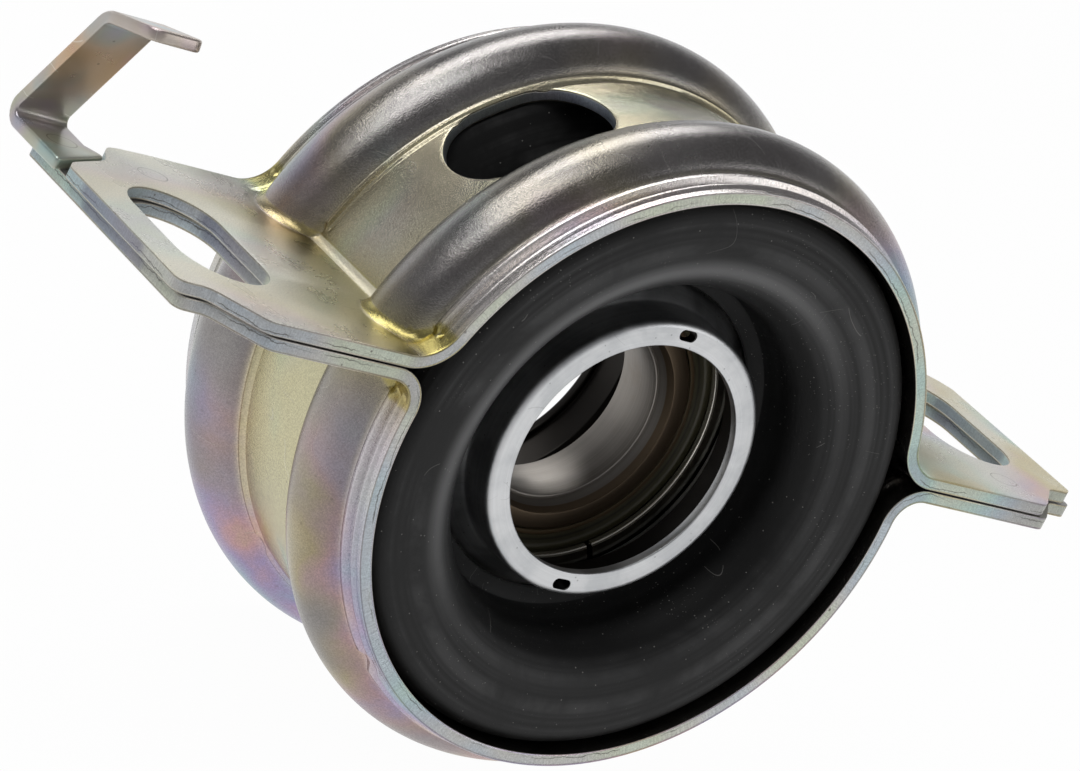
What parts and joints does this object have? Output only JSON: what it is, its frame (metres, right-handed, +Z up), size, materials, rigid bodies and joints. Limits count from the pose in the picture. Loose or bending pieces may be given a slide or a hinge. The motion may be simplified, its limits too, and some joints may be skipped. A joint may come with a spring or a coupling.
{
  "type": "driveshaft centre bearing",
  "caption": "Driveshaft centre bearing: a sealed ball bearing in a rubber ring, inside a stamped two-piece housing with slotted ears and a hook bracket.",
  "frame": {"origin": "midway between the two ear slots, on the ears' upper face, at the middle of the housing's length", "axes": "+X along the ears, Y along the shaft with the front at -Y, +Z up; the shaft's axis runs 11.45 mm below the origin"},
  "size_m": [0.1794, 0.0608, 0.1069],
  "materials": {
    "yellow_zinc": "yellow chromate zinc plate, satin with faint rainbow tints",
    "bright_zinc": "clear zinc plate, fine matt",
    "ground_steel": "ground bearing steel",
    "cage_steel": "pressed steel",
    "black_rubber": "moulded black rubber with a faint bloom",
    "seal_rubber": "smooth black rubber"
  },
  "bodies": {
    "housing": {"upper_shell": "yellow_zinc", "lower_shell": "yellow_zinc", "hook_bracket": "yellow_zinc", "rubber_ring": "black_rubber", "bearing_carrier": "bright_zinc", "snap_ring": "ground_steel", "front_cover": "bright_zinc", "rear_cover": "bright_zinc", "outer_ring": "ground_steel", "front_seal": "seal_rubber", "rear_seal": "seal_rubber"},
    "inner_race": {"inner_ring": "ground_steel"},
    "ball_cage": {"ball_01": "ground_steel", "ball_02": "ground_steel", "ball_03": "ground_steel", "ball_04": "ground_steel", "ball_05": "ground_steel", "ball_06": "ground_steel", "ball_07": "ground_steel", "ball_08": "ground_steel", "ball_09": "ground_steel", "rivet_01": "cage_steel", "rivet_02": "cage_steel", "rivet_03": "cage_steel", "rivet_04": "cage_steel", "rivet_05": "cage_steel", "rivet_06": "cage_steel", "rivet_07": "cage_steel", "rivet_08": "cage_steel", "rivet_09": "cage_steel", "front_cage_half": "cage_steel", "rear_cage_half": "cage_steel"}
  },
  "joints": [
    {"name": "shaft_spin", "type": "hinge", "parent": "housing", "child": "inner_race", "pos_m": [0, 0, -0.01145], "axis": [0, 1, 0], "continuous": true},
    {"name": "cage_orbit", "type": "hinge", "parent": "housing", "child": "ball_cage", "pos_m": [0, 0, -0.01145], "axis": [0, 1, 0], "continuous": true}
  ],
  "couplings": [
    {"joint": "cage_orbit", "follows": "shaft_spin", "ratio": 0.4}
  ]
}
